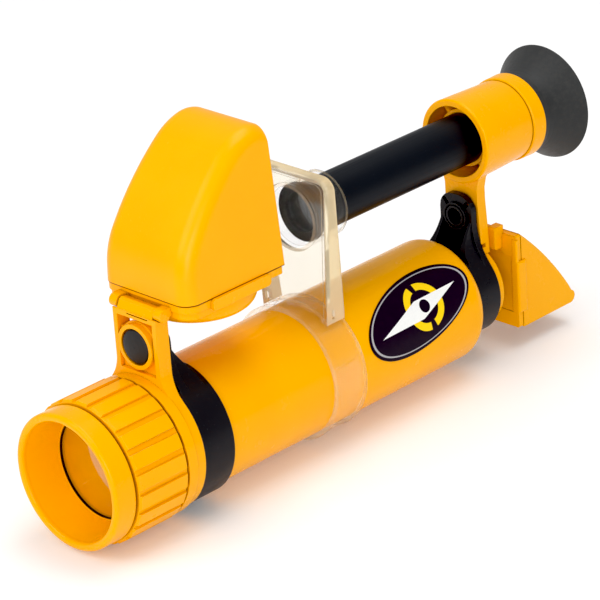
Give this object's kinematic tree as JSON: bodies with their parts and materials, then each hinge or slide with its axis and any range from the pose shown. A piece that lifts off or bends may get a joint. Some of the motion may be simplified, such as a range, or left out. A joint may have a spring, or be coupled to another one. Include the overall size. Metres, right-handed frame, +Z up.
{
  "type": "handheld bearing compass",
  "caption": "Telescope barrel with a sight tube above it, a folding hooded compass at the front and a folding mirror box at the eye end.",
  "frame": {"origin": "on the barrel's axis, in the middle of the bare stretch between the front clamp and the clear bracket", "axes": "+X along the barrel from the objective bell to the eye end, +Z up towards the sight tube, +Y to the left of someone looking along +X"},
  "size_m": [0.2422, 0.0512, 0.1283],
  "materials": {
    "yellow_plastic": "glossy moulded plastic, yellow-orange",
    "black_plastic": "satin black moulded plastic",
    "sight_tube_black": "matte black tube",
    "black_rubber": "soft matte rubber",
    "clear_plastic": "frosted clear acrylic",
    "lens_glass": "polished lens glass",
    "mirror_glass": "front-silvered mirror",
    "pin_steel": "drawn steel wire",
    "jewel_brass": "turned brass",
    "card_white": "printed white card",
    "badge_black": "printed label"
  },
  "bodies": {
    "barrel": {"main_tube": "yellow_plastic", "glare_stop_front": "black_plastic", "glare_stop_rear": "black_plastic", "field_lens": "lens_glass", "field_lens_ring": "black_plastic", "front_bracket": "yellow_plastic", "front_clamp": "black_plastic", "front_snap_button": "black_plastic", "front_hinge_pin": "pin_steel", "clear_bracket": "clear_plastic", "sight_tube": "sight_tube_black", "sight_end_cap": "black_plastic", "sight_reticle": "lens_glass", "sight_stop": "black_plastic", "rear_column": "yellow_plastic", "rear_clamp": "black_plastic", "rear_snap_button": "black_plastic", "rear_hinge_pin": "pin_steel", "badge_plate": "badge_black"},
    "bell": {"objective_bell": "yellow_plastic", "objective_lens": "lens_glass", "objective_lock_ring": "black_plastic", "objective_trim_ring": "black_plastic", "bell_o_ring": "black_rubber"},
    "focus": {"focus_ring": "yellow_plastic"},
    "hood": {"front_tray": "yellow_plastic", "front_hood": "yellow_plastic", "hood_mirror": "mirror_glass", "compass_bowl": "yellow_plastic", "capsule_shell": "clear_plastic", "capsule_diaphragm": "black_rubber", "capsule_cover": "lens_glass", "capsule_gasket": "black_rubber", "lubber_ring": "black_plastic", "pivot_post": "pin_steel"},
    "card": {"compass_card": "card_white", "jewel_cup": "jewel_brass", "card_magnets": "pin_steel"},
    "eyepiece": {"dioptre_ring": "yellow_plastic", "eyepiece_lens": "lens_glass", "eyepiece_retainer": "black_plastic", "eyecup": "black_rubber"},
    "rear_box": {"rear_tray": "yellow_plastic", "rear_hood": "yellow_plastic", "rear_mirror": "mirror_glass"}
  },
  "joints": [
    {"name": "focus_turn", "type": "hinge", "parent": "barrel", "child": "focus", "pos_m": [-0.0567, 0, 0], "axis": [1, 0, 0], "range_deg": [0, 270]},
    {"name": "bell_slide", "type": "slide", "parent": "barrel", "child": "bell", "axis": [-1, 0, 0], "range_m": [0, 0.004]},
    {"name": "hood_fold", "type": "hinge", "parent": "barrel", "child": "hood", "pos_m": [-0.0394, 0, 0.049], "axis": [0, -1, 0], "range_deg": [0, 90]},
    {"name": "card_turn", "type": "hinge", "parent": "hood", "child": "card", "pos_m": [-0.013, 0, 0.0466], "axis": [0, 0, 1], "continuous": true},
    {"name": "dioptre_turn", "type": "hinge", "parent": "barrel", "child": "eyepiece", "pos_m": [0.144, 0, 0.0562], "axis": [1, 0, 0], "range_deg": [-60, 60]},
    {"name": "rear_box_fold", "type": "hinge", "parent": "barrel", "child": "rear_box", "pos_m": [0.126, 0, 0.0198], "axis": [0, -1, 0], "range_deg": [0, 60]}
  ],
  "couplings": [
    {"joint": "bell_slide", "follows": "focus_turn", "m_per_rad": 0.00084}
  ]
}
